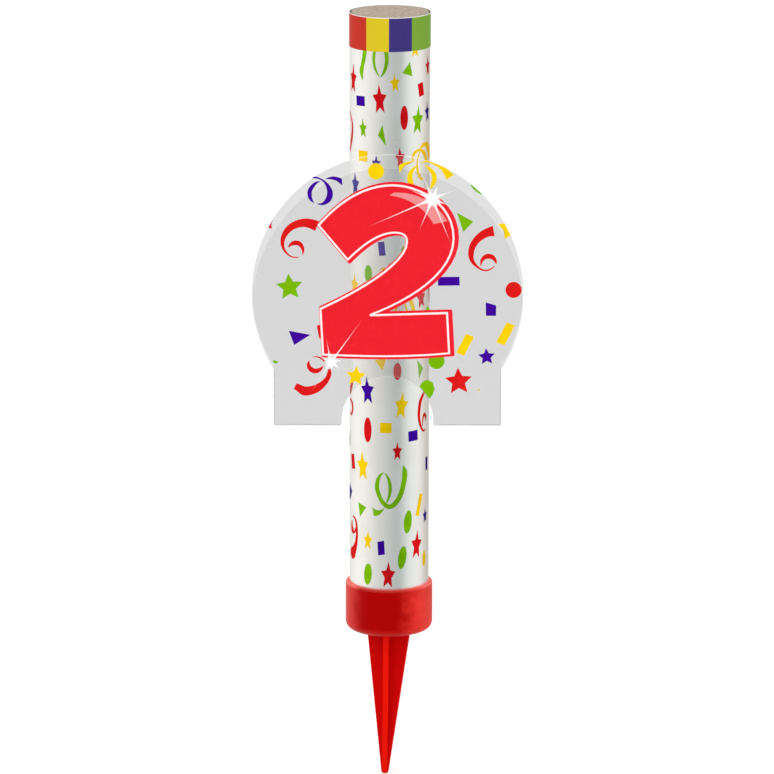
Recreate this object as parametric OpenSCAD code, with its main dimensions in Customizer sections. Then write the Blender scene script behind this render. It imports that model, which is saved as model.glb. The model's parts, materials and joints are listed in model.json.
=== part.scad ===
// Cake fountain with a number plaque: a foil-wrapped paper tube that throws sparks,
// a moulded foot with a spike that goes into the cake, and a flat number plaque that
// clips round the tube, stands in front of it and slides along it.
// Millimetres. +Z is up along the tube, the number faces -Y, and the origin is on the
// tube's axis at the underside of the foot's cup, where the icing's surface is.

/* [Tube] */
// Outside diameter of the bare paper tube
tube_d = 16; // [13:0.1:20]
// Wall thickness of the paper tube
tube_wall = 1.6; // [1:0.1:2.5]
// Length of the paper tube
tube_len = 125.4; // [110:0.1:150]
// Thickness of the printed foil wrap
wrap_t = 0.1; // [0.05:0.05:0.3]
// Height of the striped sealing band
band_h = 6.9; // [4:0.1:12]
// Thickness of the striped sealing band
band_t = 0.1; // [0.05:0.05:0.3]
// Thickness of the card seal at its edge
seal_t = 0.8; // [0.4:0.1:1.5]
// Rise of the card seal's crown above its edge
seal_crown = 0.25; // [0.1:0.05:0.6]
// Gap between the card seal and the band round it
seal_gap = 0.3; // [0.1:0.05:0.6]

/* [Filling] */
// Length of the clay plug that closes the tube's lower end
plug_len = 6; // [3:0.5:12]
// Thickness of the priming layer on the charge
priming_t = 1.5; // [0.8:0.1:3]
// Thickness of the card washer that holds the priming down
washer_t = 1.2; // [0.6:0.1:2]
// Empty height between the washer and the seal
head_space = 18; // [8:0.5:30]
// Diameter of the quick match that carries the flame to the priming
match_d = 2.4; // [1.5:0.1:3.5]
// Radial gap round the match in the washer's hole
match_clear = 0.1; // [0.05:0.05:0.3]
// Radial gap between the filling and the tube's bore
fill_clear = 0.03; // [0.01:0.01:0.1]

/* [Foot] */
// Radial clearance between the cup and the wrapped tube
cup_clear = 0.1; // [0.05:0.01:0.25]
// Wall thickness of the cup
cup_wall = 0.7; // [0.5:0.1:1.5]
// Depth of the cup
cup_depth = 8.3; // [5:0.1:14]
// Thickness of the cup's floor
cup_floor = 1.8; // [1.2:0.1:3]
// Rounding of the cup's bottom edge
cup_edge_r = 1.7; // [0.5:0.1:1.7]
// Length of the spike below the cup
spike_len = 31.3; // [20:0.1:50]
// Width of the spike across two ribs at its root
spike_w = 9; // [5:0.1:11]
// Width of the spike's rounded tip
spike_tip_w = 1.5; // [0.8:0.1:2.5]
// Thickness of each rib of the spike
rib_t = 1.1; // [0.7:0.1:2]
// Turn of the ribs about the axis, in degrees
rib_turn = -8; // [-45:1:45]
// Lean of the spike from its root, to the left at the tip, in degrees
spike_lean = 1.4; // [-3:0.1:3]
// Thickness of the round pad at the spike's root
root_pad_t = 0.3; // [0.2:0.05:0.4]
// Reach of that pad beyond the ribs
root_pad_rim = 0.25; // [0.2:0.05:0.5]

/* [Plaque] */
// Height of the disc's centre above the cake, where the plaque is set
plaque_z = 72.4; // [60:0.1:85]
// How far the plaque is stuck on to the right of the tube's axis, or left if negative
plaque_side = -0.4; // [-1:0.1:1]
// Half the width of the plaque's disc
plaque_r = 27.3; // [24:0.1:32]
// Half the height of the plaque's disc, which is a little taller than wide
plaque_tall = 28.5; // [25:0.1:34]
// Thickness of the clear printed film
film_t = 0.4; // [0.2:0.1:1]
// Thickness of the tinted plate behind the film
plate_t = 1.2; // [0.8:0.1:3]
// How far the plate's disc stays inside the film's edge
plate_inset = 0.1; // [0.1:0.1:1]
// How far the plate's upper arc lies below the film's
crescent_drop = 2.9; // [0.5:0.1:5]
// How far the plate's lower arc lies above the film's
plate_rise = 0.6; // [0:0.1:2]
// Width across the plaque's two feet
feet_w = 45.9; // [36:0.1:52]
// Distance from the disc's centre down to the feet
feet_drop = 27.1; // [25:0.1:34]
// Clearance round the cup in the arch between the feet
arch_clear = 0.35; // [0.2:0.05:2]
// Height of the arch between the feet
arch_h = 10.2; // [8:0.1:13]

/* [Number] */
// Height of the number's outline
number_h = 35; // [28:0.2:38]
// Width of the light line round the number
keyline_w = 0.4; // [0.3:0.05:1.2]
// Width of the border outside the light line
border_w = 0.5; // [0.2:0.1:1]
// How far the border is shifted to the right
border_shift = 0.4; // [0:0.02:0.6]
// Rounding of the border's outer corners
border_corner_r = 0.35; // [0.1:0.05:0.5]
// Rounding of the face's sharp inner corners
notch_r = 0.3; // [0.1:0.05:0.6]
// Thickness of each layer of the number
layer_t = 0.15; // [0.1:0.05:0.3]

/* [Clips] */
// Radial clearance between a clip and the wrapped tube
clip_clear = 0.12; // [0.05:0.01:0.25]
// Wall thickness of a clip
clip_wall = 0.9; // [0.7:0.1:1.6]
// Height of a clip
clip_h = 3.4; // [3:0.1:7]
// Angle that each arm of a clip reaches round the tube, in degrees
clip_reach = 118; // [100:1:140]
// Radius of the bead at the end of each arm
clip_bead_r = 0.6; // [0.5:0.05:0.9]
// How far the bead stays outside the clip's bore
clip_bead_gap = 0.2; // [0.1:0.05:0.4]
// Width of the flat pad at the front of a clip
clip_pad_w = 11; // [8:0.5:14]
// Thickness of the pad in front of the clip's ring
clip_pad_t = 0.4; // [0.2:0.1:1]
// Thickness of the double-sided tape between a clip and the plate
tape_t = 0.3; // [0.1:0.05:0.8]
// Margin between the tape and the edges of the pad
tape_margin = 0.4; // [0.1:0.1:1]
// Distance from the top of the disc down to the upper clip
upper_clip_drop = 13; // [6:0.1:16]
// Height of the lower clip above the top of the arch
lower_clip_rise = 5.3; // [3:0.1:8]

/* [Hidden] */
$fn = 96;

// Radii, from the tube outwards
tube_r = tube_d / 2;
bore_r = tube_r - tube_wall;
fill_r = bore_r - fill_clear;
match_r = match_d / 2;
wrap_r = tube_r + wrap_t;
band_r = wrap_r + band_t;
seal_r = wrap_r - seal_gap;
cup_r = wrap_r + cup_clear;
foot_r = cup_r + cup_wall;
clip_r = wrap_r + clip_clear;
clip_outer_r = clip_r + clip_wall;

// Heights, from the cake upwards
foot_h = cup_floor + cup_depth;
tube_z = cup_floor;
tube_top_z = tube_z + tube_len;
band_top_z = tube_top_z + seal_t;
match_len = washer_t + head_space;
charge_len = tube_len - plug_len - priming_t - match_len;
charge_z = tube_z + plug_len;
priming_z = charge_z + charge_len;
washer_z = priming_z + priming_t;
upper_clip_z = plaque_z + plaque_tall - upper_clip_drop - clip_h;
lower_clip_z = plaque_z - feet_drop + arch_h + lower_clip_rise;

// Layers of the plaque, from the tube towards the front
pad_y = -clip_outer_r - clip_pad_t;
plate_y = pad_y - tape_t;
film_y = plate_y - plate_t;
border_y = film_y - film_t;
keyline_y = border_y - layer_t;
face_y = keyline_y - layer_t;

// The arch passes the cup
arch_r = foot_r + arch_clear;

// Colours
red = [0.80, 0.04, 0.05];
number_red = [0.94, 0.14, 0.19];
silver = [0.90, 0.90, 0.89];
kraft = [0.74, 0.65, 0.55];
band_yellow = [0.86, 0.77, 0.14];
clay = [0.62, 0.58, 0.53];
charge_grey = [0.34, 0.34, 0.36];
priming_black = [0.14, 0.13, 0.13];
match_tan = [0.55, 0.48, 0.36];
plate_grey = [0.80, 0.81, 0.81, 0.6];
film_clear = [0.92, 0.93, 0.93, 0.5];
clip_clear_tint = [0.90, 0.93, 0.95, 0.5];
tape_white = [0.93, 0.93, 0.90];

// Points along a cubic curve from a to d, without a itself.
function curve(a, b, c, d, steps = 12) = [
    for (i = [1 : steps])
        let (t = i / steps, s = 1 - t)
            s * s * s * a + 3 * s * s * t * b + 3 * s * t * t * c + t * t * t * d
];

// The number's outline in the middle of the light line, drawn round the disc's centre
// at drawn_h from its foot to its crown.
drawn_h = 35;
arm_tip = [-13.8, 14.2];
crown = [1, 22.35];
shoulder = [13.2, 11.6];
notch = [-3.85, -4.25];
bar_top = [11.95, -3.75];
bar_corner = [12.4, -12];
heel = [-12.95, -12.3];
heel_top = [-13.45, -2.9];
hook_side = [3.9, 10.9];
hook_top = [1.45, 12.75];
arm_end = [-8, 7.2];
number_outline = concat(
    [arm_tip],
    curve(arm_tip, [-10.1, 18.6], [-5, 22.35], crown),
    curve(crown, [5.95, 22.35], [13.2, 18.8], shoulder),
    curve(shoulder, [13.2, 4.55], [4.8, -0.95], notch),
    [bar_top, bar_corner],
    curve(bar_corner, [3.8, -12.85], [-4.15, -12.7], heel, steps = 6),
    [heel_top],
    curve(heel_top, [-6.65, 0.25], [3.9, 6.25], hook_side),
    curve(hook_side, [3.9, 12.45], [2.65, 12.75], hook_top, steps = 8),
    curve(hook_top, [-1.65, 12.75], [-4.9, 10.35], arm_end)
);

// A ring of the given radii standing on z.
module ring(outer_r, inner_r, z, h) {
    translate([0, 0, z])
        difference() {
            cylinder(r = outer_r, h = h);
            translate([0, 0, -1])
                cylinder(r = inner_r, h = h + 2);
        }
}

// A flat outline, drawn round the disc's centre, that stands up facing the front.
module sheet(back_y, thickness) {
    translate([plaque_side, back_y, plaque_z])
        rotate([90, 0, 0])
            linear_extrude(thickness)
                children();
}

// The outline of the two feet and the block that joins them to the disc.
module feet_outline() {
    translate([-feet_w / 2, -feet_drop])
        square([feet_w, feet_drop]);
}

// The arch between the feet, wide enough for the cup to pass.
module arch_outline() {
    translate([0, arch_h - arch_r - feet_drop])
        circle(r = arch_r);
    translate([-arch_r, -feet_drop - 1])
        square([2 * arch_r, 1 + max(arch_h - arch_r, 0)]);
}

// The disc, shrunk by the given inset.
module disc_outline(inset) {
    scale([plaque_r - inset, plaque_tall - inset])
        circle(r = 1);
}

// Cuts an outline off level at the feet, and opens the arch between them.
module stood_on_feet() {
    difference() {
        intersection() {
            children();
            translate([-plaque_r, -feet_drop])
                square([2 * plaque_r, feet_drop + plaque_tall]);
        }
        arch_outline();
    }
}

module film_outline() {
    stood_on_feet() {
        union() {
            disc_outline(0);
            feet_outline();
        }
    }
}

// The plate's disc is flatter than the film's, which leaves a crescent of bare film on top
// and a narrow rim of it below.
module plate_outline() {
    stood_on_feet() {
        union() {
            intersection() {
                translate([0, plate_rise])
                    disc_outline(plate_inset);
                translate([0, -crescent_drop])
                    disc_outline(plate_inset);
            }
            intersection() {
                feet_outline();
                translate([-feet_w / 2, -feet_drop])
                    square([feet_w, feet_drop - crescent_drop]);
            }
        }
    }
}

// The number's outline, grown or shrunk from the middle of the light line.
module number_shape(grow) {
    offset(delta = grow)
        scale(number_h / drawn_h)
            polygon(number_outline);
}

// One tapered blade of the spike, whose two halves are opposite ribs.
module spike_blade() {
    tip_r = spike_tip_w / 2;
    rotate([90, 0, 0])
        linear_extrude(rib_t, center = true) {
            polygon([
                [-spike_w / 2, 0],
                [-tip_r, tip_r - spike_len],
                [tip_r, tip_r - spike_len],
                [spike_w / 2, 0],
                [spike_w / 2, cup_floor / 2],
                [-spike_w / 2, cup_floor / 2],
            ]);
            translate([0, tip_r - spike_len])
                circle(r = tip_r);
        }
}

// The cup's section, with a rounded bottom edge and a rolled rim.
module cup_section() {
    rim_r = cup_wall / 2;
    square([foot_r - cup_edge_r, cup_floor]);
    translate([0, cup_edge_r])
        square([foot_r, cup_floor - cup_edge_r]);
    intersection() {
        translate([foot_r - cup_edge_r, cup_edge_r])
            circle(r = cup_edge_r);
        square([foot_r, cup_floor]);
    }
    translate([cup_r, cup_edge_r])
        square([cup_wall, foot_h - rim_r - cup_edge_r]);
    translate([foot_r - rim_r, foot_h - rim_r])
        circle(r = rim_r);
}

// A snap ring open at the back, with a flat pad at the front to stick to the plate.
module snap_clip(z) {
    translate([0, 0, z])
        difference() {
            union() {
                rotate([0, 0, -90 - clip_reach])
                    rotate_extrude(angle = 2 * clip_reach)
                        square([clip_outer_r, clip_h]);
                for (side = [-1, 1])
                    rotate([0, 0, -90 + side * clip_reach])
                        translate([clip_r + clip_bead_gap + clip_bead_r, 0, 0])
                            cylinder(r = clip_bead_r, h = clip_h);
                translate([-clip_pad_w / 2, pad_y, 0])
                    cube([clip_pad_w, -pad_y - clip_r / 2, clip_h]);
            }
            translate([0, 0, -1])
                cylinder(r = clip_r, h = clip_h + 2);
        }
}

// The double-sided tape between a clip's pad and the plate.
module clip_tape(z) {
    tape_w = clip_pad_w - 2 * tape_margin;
    translate([-tape_w / 2, plate_y, z + tape_margin])
        cube([tape_w, tape_t, clip_h - 2 * tape_margin]);
}

// The moulded foot: the cup that grips the tube, and the four-ribbed spike on its round pad.
module spike_foot() {
    color(red) {
        rotate_extrude()
            cup_section();
        translate([0, 0, -root_pad_t])
            cylinder(r = spike_w / 2 + root_pad_rim, h = root_pad_t + cup_floor / 2);
        for (turn = [0, 90])
            rotate([0, spike_lean, 0])
                rotate([0, 0, rib_turn + turn])
                    spike_blade();
    }
}

module paper_tube() {
    color(kraft)
        ring(tube_r, bore_r, tube_z, tube_len);
}

module foil_wrap() {
    color(silver)
        ring(wrap_r, tube_r, tube_z, tube_len);
}

module stripe_band() {
    color(band_yellow)
        ring(band_r, wrap_r, band_top_z - band_h, band_h);
}

// The card disc on the tube's end, slightly crowned, that the flame burns through.
module card_seal() {
    crown_r = (seal_r * seal_r + seal_crown * seal_crown) / (2 * seal_crown);
    color(kraft)
        translate([0, 0, tube_top_z])
            rotate_extrude()
                intersection() {
                    square([seal_r, seal_t + seal_crown]);
                    translate([0, seal_t + seal_crown - crown_r])
                        circle(r = crown_r, $fn = 1440);
                }
}

module base_plug() {
    color(clay)
        translate([0, 0, tube_z])
            cylinder(r = fill_r, h = plug_len);
}

module spark_charge() {
    color(charge_grey)
        translate([0, 0, charge_z])
            cylinder(r = fill_r, h = charge_len);
}

module priming_layer() {
    color(priming_black)
        translate([0, 0, priming_z])
            cylinder(r = fill_r, h = priming_t);
}

module retaining_washer() {
    color(kraft)
        ring(fill_r, match_r + match_clear, washer_z, washer_t);
}

// The match stands on the priming, in the washer's hole, and reaches the seal.
module quick_match() {
    color(match_tan)
        translate([0, 0, washer_z])
            cylinder(r = match_r, h = match_len);
}

module plaque_plate() {
    color(plate_grey)
        sheet(plate_y, plate_t)
            plate_outline();
}

module plaque_film() {
    color(film_clear)
        sheet(film_y, film_t)
            film_outline();
}

module number_border() {
    color(number_red)
        sheet(border_y, layer_t)
            translate([border_shift, 0])
                offset(r = border_corner_r, $fn = 24)
                    number_shape(keyline_w / 2 + border_w - border_corner_r);
}

module number_keyline() {
    color("white")
        sheet(keyline_y, layer_t)
            number_shape(keyline_w / 2);
}

module number_face() {
    color(number_red)
        sheet(face_y, layer_t)
            offset(r = -notch_r)
                offset(r = notch_r)
                    number_shape(-keyline_w / 2);
}

module upper_clip() {
    color(clip_clear_tint)
        snap_clip(upper_clip_z);
}

module lower_clip() {
    color(clip_clear_tint)
        snap_clip(lower_clip_z);
}

module upper_clip_tape() {
    color(tape_white)
        clip_tape(upper_clip_z);
}

module lower_clip_tape() {
    color(tape_white)
        clip_tape(lower_clip_z);
}

spike_foot();
paper_tube();
foil_wrap();
stripe_band();
card_seal();
base_plug();
spark_charge();
priming_layer();
retaining_washer();
quick_match();
plaque_plate();
plaque_film();
number_border();
number_keyline();
number_face();
upper_clip();
lower_clip();
upper_clip_tape();
lower_clip_tape();
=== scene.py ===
"""The looks of a cake fountain with a number plaque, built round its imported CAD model.

The file follows the object from the cake upwards: the studio, the foot, the tube and its
filling, the printed foil, the striped band, the card seal, the clips, the plaque, the number.
"""

import json
import math
from types import SimpleNamespace

import bmesh
import bpy
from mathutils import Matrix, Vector


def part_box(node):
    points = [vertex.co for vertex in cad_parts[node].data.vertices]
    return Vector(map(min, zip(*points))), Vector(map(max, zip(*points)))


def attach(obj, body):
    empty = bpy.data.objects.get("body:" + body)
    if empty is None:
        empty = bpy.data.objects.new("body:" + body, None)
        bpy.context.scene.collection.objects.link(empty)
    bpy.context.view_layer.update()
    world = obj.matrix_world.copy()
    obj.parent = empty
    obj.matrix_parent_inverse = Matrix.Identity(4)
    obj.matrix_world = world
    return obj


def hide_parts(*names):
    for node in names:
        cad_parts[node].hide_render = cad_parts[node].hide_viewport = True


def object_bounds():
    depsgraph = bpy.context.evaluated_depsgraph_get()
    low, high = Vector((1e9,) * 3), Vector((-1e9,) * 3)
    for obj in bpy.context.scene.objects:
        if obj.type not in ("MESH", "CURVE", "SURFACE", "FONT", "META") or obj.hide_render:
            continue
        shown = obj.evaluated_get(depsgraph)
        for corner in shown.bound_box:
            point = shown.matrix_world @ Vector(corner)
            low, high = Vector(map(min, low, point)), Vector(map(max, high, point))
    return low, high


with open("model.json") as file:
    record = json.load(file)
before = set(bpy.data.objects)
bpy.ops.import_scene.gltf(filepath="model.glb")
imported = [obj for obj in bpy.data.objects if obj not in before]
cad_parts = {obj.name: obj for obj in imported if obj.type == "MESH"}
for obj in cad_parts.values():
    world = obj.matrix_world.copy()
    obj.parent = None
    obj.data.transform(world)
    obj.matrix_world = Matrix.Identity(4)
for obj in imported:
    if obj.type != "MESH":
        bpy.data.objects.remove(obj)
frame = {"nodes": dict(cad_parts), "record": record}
cad_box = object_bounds()
cad = frame["nodes"]

# The studio: a pale floor that the spike's tip just meets, soft light all round, and a long
# lens a little above the top of the tube that looks down on it. Grey cards beside the lens
# give the foil its soft dark streak.
MM = 0.001
WHITE = (1, 1, 1, 1)
FLOOR_Z = cad_box[0][2]
scene = bpy.context.scene
scene.view_settings.view_transform = "Standard"

FOCAL, SENSOR = 250.4, 36
TILT, ROLL = math.radians(77.01), math.radians(0.09)
AWAY, ASIDE, LENS_Z = 1.069, -0.00048, 0.2973
lens = bpy.data.cameras.new("photo_lens")
lens.lens, lens.sensor_width = FOCAL, SENSOR
lens.clip_start, lens.clip_end = 0.05, 30
camera = bpy.data.objects.new("photo_camera", lens)
camera.location = (ASIDE, -AWAY, LENS_Z)
camera.rotation_euler = (TILT, 0, 0)
camera.rotation_euler.rotate_axis("Z", ROLL)
scene.collection.objects.link(camera)
scene.camera = camera


def put(tree, kind, inputs=None, **settings):
    """A new node of that kind. Each input takes a socket, which is linked, or a plain value."""
    made = tree.nodes.new(kind)
    for name, value in settings.items():
        setattr(made, name, value)
    for key, value in (inputs or {}).items():
        if isinstance(value, bpy.types.NodeSocket):
            tree.links.new(value, made.inputs[key])
        else:
            made.inputs[key].default_value = value
    return made


def maths(tree, operation, a, b=0.0, c=0.0, clamp=False):
    """The result of one step of arithmetic on sockets or numbers."""
    terms = {0: a, 1: b, 2: c}
    return put(tree, "ShaderNodeMath", terms, operation=operation, use_clamp=clamp).outputs[0]


def times(tree, a, b, c=0.0, clamp=False):
    """a times b, plus c."""
    return maths(tree, "MULTIPLY_ADD", a, b, c, clamp)


def parts_of(tree, vector):
    """A vector's X, Y and Z, as sockets."""
    return put(tree, "ShaderNodeSeparateXYZ", {0: vector}).outputs


def mixed(tree, mask, a, b):
    """Colour a where the mask is 0, and colour b where it is 1."""
    return put(tree, "ShaderNodeMix", {0: mask, 6: a, 7: b}, data_type="RGBA").outputs[2]


def blended(tree, mask, a, b):
    """A shader node that is a where the mask is 0, and b where it is 1."""
    return put(tree, "ShaderNodeMixShader", {0: mask, 1: a.outputs[0], 2: b.outputs[0]})


def shade(r, g, b):
    """A colour as a printer writes it, 0 to 255, in the linear values that shaders take."""
    def linear(x):
        x /= 255
        return x / 12.92 if x <= 0.04045 else ((x + 0.055) / 1.055) ** 2.4

    return (linear(r), linear(g), linear(b), 1)


def group_of(name, inputs, outputs, kind="ShaderNodeTree"):
    """An empty node group with named sockets, as (tree, its inputs, its output node)."""
    tree = bpy.data.node_groups.new(name, kind)
    for way, sockets in (("INPUT", inputs), ("OUTPUT", outputs)):
        for socket, form in sockets.items():
            tree.interface.new_socket(name=socket, in_out=way, socket_type=f"NodeSocket{form}")
    return tree, put(tree, "NodeGroupInput").outputs, put(tree, "NodeGroupOutput")


def round_ramp(tree, vector, marks, hard=False):
    """The colour for each way round the upright axis. marks are degrees from the front towards
    +X with the colour there, and hard leaves no blend between them."""
    way = parts_of(tree, vector)
    bearing = maths(tree, "ARCTAN2", way["X"], times(tree, way["Y"], -1.0))
    share = times(tree, bearing, 0.5 / math.pi, 0.5)
    ramp = put(tree, "ShaderNodeValToRGB", {0: share})
    ramp.color_ramp.interpolation = "CONSTANT" if hard else "LINEAR"
    stops = ramp.color_ramp.elements
    while len(stops) < len(marks):
        stops.new(0.5)
    for stop, (degrees, colour) in zip(stops, marks):
        stop.position = degrees / 360 + 0.5
        stop.color = (*colour[:3], 1)
    return ramp.outputs["Color"]


def bare_tree(owner):
    """The node tree of a world or material, emptied."""
    owner.use_nodes = True
    owner.node_tree.nodes.clear()
    return owner.node_tree


# What stands round the object: degrees from the lens towards +X, and the light from there.
CARDS = [
    (-180, (0.74, 0.73, 0.71)),
    (-137, (0.94, 0.93, 0.90)),
    (-102, (1.09, 1.06, 1.01)),
    (-67, (0.94, 0.92, 0.87)),
    (-32, (0.70, 0.70, 0.66)),
    (-2, (0.55, 0.57, 0.56)),
    (22, (0.40, 0.45, 0.44)),
    (34, (0.45, 0.51, 0.49)),
    (53, (0.76, 0.80, 0.77)),
    (78, (0.94, 0.95, 0.92)),
    (98, (0.95, 0.93, 0.88)),
    (118, (0.71, 0.67, 0.61)),
    (143, (0.56, 0.52, 0.47)),
    (180, (0.74, 0.73, 0.71)),
]
cards, cards_in, cards_out = group_of("studio_cards", {"Direction": "Vector"}, {"Light": "Color"})
cards.links.new(round_ramp(cards, cards_in["Direction"], CARDS), cards_out.inputs["Light"])

# The plaque is hazy, so what it shows of the white background is mixed with the darker room.
AMBIENT, HAZE = 0.62, 0.29


def backdrop(tree, brightness, coordinates):
    """Masks of the mirrored rays and of those that the lens sees, the brightness that it sees,
    and the cards' light for the mirrors."""
    rays = put(tree, "ShaderNodeLightPath").outputs
    seen = maths(tree, "MAXIMUM", rays["Is Camera Ray"], rays["Is Transmission Ray"])
    through = maths(tree, "MINIMUM", rays["Transparent Depth"], 1.0)
    direction = put(tree, "ShaderNodeTexCoord").outputs[coordinates]
    round_it = put(tree, "ShaderNodeGroup", {0: direction}, node_tree=cards).outputs[0]
    return rays["Is Glossy Ray"], seen, times(tree, through, -HAZE, brightness), round_it


air = bpy.data.worlds.new("studio_air")
scene.world = air
tree = bare_tree(air)
mirror_ray, seen, whiteness, round_it = backdrop(tree, 1.0, "Generated")
soft = put(tree, "ShaderNodeBackground", {"Color": WHITE, "Strength": AMBIENT})
white = put(tree, "ShaderNodeBackground", {"Color": WHITE, "Strength": whiteness})
mirrored = put(tree, "ShaderNodeBackground", {"Color": round_it, "Strength": 1.0})
shown = blended(tree, seen, blended(tree, mirror_ray, soft, mirrored), white)
put(tree, "ShaderNodeOutputWorld", {"Surface": shown.outputs[0]})

FLOOR_HALF = 6.0
FLOOR_PALE, FLOOR_SEEN, FLOOR_GLOW = 0.8, 0.5, 0.56
floor_mesh = bpy.data.meshes.new("floor")
floor_mesh.from_pydata(
    [(x * FLOOR_HALF, y * FLOOR_HALF, FLOOR_Z) for x, y in ((-1, -1), (1, -1), (1, 1), (-1, 1))],
    [],
    [(0, 1, 2, 3)],
)
floor = bpy.data.objects.new("floor", floor_mesh)
scene.collection.objects.link(floor)
floor_white = bpy.data.materials.new("floor_white")
tree = bare_tree(floor_white)
mirror_ray, seen, whiteness, round_it = backdrop(tree, FLOOR_GLOW, "Object")
matt = put(
    tree, "ShaderNodeBsdfDiffuse", {"Color": times(tree, seen, FLOOR_SEEN - FLOOR_PALE, FLOOR_PALE)}
)
glow = put(tree, "ShaderNodeEmission", {"Strength": times(tree, seen, whiteness)})
pale = put(tree, "ShaderNodeAddShader", {0: matt.outputs[0], 1: glow.outputs[0]})
mirrored = put(tree, "ShaderNodeEmission", {"Color": round_it})
shown = blended(tree, mirror_ray, pale, mirrored)
put(tree, "ShaderNodeOutputMaterial", {"Surface": shown.outputs[0]})
floor_mesh.materials.append(floor_white)

LIT_POINT = Vector((0, 0, 0.05))


def softbox(name, place, side, watts):
    """A square soft lamp that looks at the middle of the object."""
    lamp = bpy.data.lights.new(name, "AREA")
    lamp.size, lamp.energy = side, watts
    made = bpy.data.objects.new(name, lamp)
    made.location = place
    made.rotation_euler = (LIT_POINT - Vector(place)).to_track_quat("-Z", "Y").to_euler()
    scene.collection.objects.link(made)


softbox("key_softbox", (-1.14, -1.26, 1.5), 1.6, 20)
softbox("fill_softbox", (1.47, -0.95, 1.0), 1.4, 9)
softbox("top_softbox", (0.1, 0.5, 2.0), 1.6, 8)

# The foot: a cup that grips the tube over a spike of four tapered ribs. It is one red
# polypropylene moulding, satin all over, with a painted sheen and painted highlights on the cup
# and the ribs' edges and a painted glow in the cup's lip; its spike is coloured a brighter red
# than its cup.


def noise(tree, place, scale, detail=2.0, roughness=0.5):
    """A soft noise from 0 to 1, with about so many patches to the metre."""
    return put(
        tree,
        "ShaderNodeTexNoise",
        {"Vector": place, "Scale": scale, "Detail": detail, "Roughness": roughness},
    ).outputs[0]


grain_group, grain_in, grain_out = group_of(
    "fine_grain", {"Vector": "Vector", "Scale": "Float", "Stretch": "Vector"}, {"Grain": "Float"}
)
drawn_out = put(
    grain_group,
    "ShaderNodeVectorMath",
    {0: grain_in["Vector"], 1: grain_in["Stretch"]},
    operation="MULTIPLY",
)
speckle = noise(grain_group, drawn_out.outputs[0], grain_in["Scale"], 4.0, 0.6)
grain_group.links.new(speckle, grain_out.inputs["Grain"])
GRAIN_LOW, GRAIN_HIGH = 0.3, 0.7


def finish_of(name, grain, rough, bump, stretch=(1, 1, 1), **plain):
    """A shader whose roughness and surface follow a fine grain, with so many grains to the metre.
    rough is its least and most roughness, bump the grain's depth in millimetres, and plain are
    values that are even all over."""
    material = bpy.data.materials.new(name)
    tree = bare_tree(material)
    place = put(tree, "ShaderNodeTexCoord").outputs["Object"]
    grains = {"Vector": place, "Scale": grain, "Stretch": stretch}
    grit = put(tree, "ShaderNodeGroup", grains, node_tree=grain_group).outputs[0]
    roughness = put(
        tree, "ShaderNodeMapRange", {0: grit, 1: GRAIN_LOW, 2: GRAIN_HIGH, 3: rough[0], 4: rough[1]}
    )
    relief = put(tree, "ShaderNodeBump", {"Height": grit, "Distance": bump * MM, "Strength": 1.0})
    shader = put(
        tree,
        "ShaderNodeBsdfPrincipled",
        {"Roughness": roughness.outputs[0], "Normal": relief.outputs[0], **plain},
    )
    put(tree, "ShaderNodeOutputMaterial", {"Surface": shader.outputs[0]})
    return SimpleNamespace(material=material, tree=tree, shader=shader, place=place, grain=grit)


def coloured(finish, colour):
    """Links a colour socket to the finish's shader, and gives its material."""
    finish.tree.links.new(colour, finish.shader.inputs["Base Color"])
    return finish.material


def wear(node, material):
    """Gives a CAD node its material."""
    cad[node].material_slots[0].material = material


def ranged(tree, value, low, high):
    """0 where the value is at low and 1 where it is at high, with a smooth rise between."""
    return put(
        tree,
        "ShaderNodeMapRange",
        {0: value, 1: low, 2: high, 3: 0.0, 4: 1.0},
        interpolation_type="SMOOTHSTEP",
    ).outputs[0]


def ranged_mm(tree, value, low, high):
    """The same for a value in metres, with its ends in millimetres."""
    return ranged(tree, value, low * MM, high * MM)


def length_of(tree, a, b):
    """The length of a flat step of a one way and b across it."""
    return maths(tree, "SQRT", times(tree, a, a, times(tree, b, b)))


CUP_RED, CUP_SHEEN, RIM_HIGHLIGHT = shade(172, 0, 0), shade(238, 54, 44), shade(240, 112, 102)
FLANK_RED, RIB_HIGHLIGHT_RED, LIP_GLOW = shade(212, 1, 1), shade(234, 20, 4), shade(238, 120, 112)
CUP_H, CUP_R, EDGE_R, SPIKE_LEN = 10.1, 8.2, 1.7, 31.3
SPIKE_W, TIP_W = 9, 1.5
RIB_TURN, SPIKE_LEAN = math.radians(-8), math.radians(1.4)
foot = finish_of(
    "foot_red", 900, (0.3, 0.42), 0.003, **{"Specular IOR Level": 0.03, "Coat Roughness": 0.36}
)
tree = foot.tree
spot = parts_of(tree, foot.place)
mottle = noise(tree, foot.place, 300.0, 6.0, 0.7)
# A painted sheen, a pale reflection painted into the colour, lies on the cup's right side, its
# left edge and its lower rounding: where it starts and is full, how far the mottle makes it
# stray, and how strong the lesser two are.
RIGHT_SHEEN, LEFT_SHEEN, STRAY = (1.5, 6.9), (-5.4, -8.7), 5
LEFT_SHEEN_SHARE, BASE_SHEEN_SHARE = 0.7, 0.35
strayed = times(tree, maths(tree, "SUBTRACT", mottle, 0.5), STRAY * MM, spot["X"])
right_sheen = ranged_mm(tree, strayed, *RIGHT_SHEEN)
left_sheen = times(tree, ranged_mm(tree, strayed, *LEFT_SHEEN), LEFT_SHEEN_SHARE)
base_sheen = times(tree, ranged_mm(tree, spot["Z"], EDGE_R + 0.3, 0.5), BASE_SHEEN_SHARE)
painted_sheen = maths(tree, "MAXIMUM", maths(tree, "MAXIMUM", right_sheen, left_sheen), base_sheen)
mottled_sheen = times(tree, painted_sheen, maths(tree, "ADD", mottle, 0.4, clamp=True))
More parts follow.
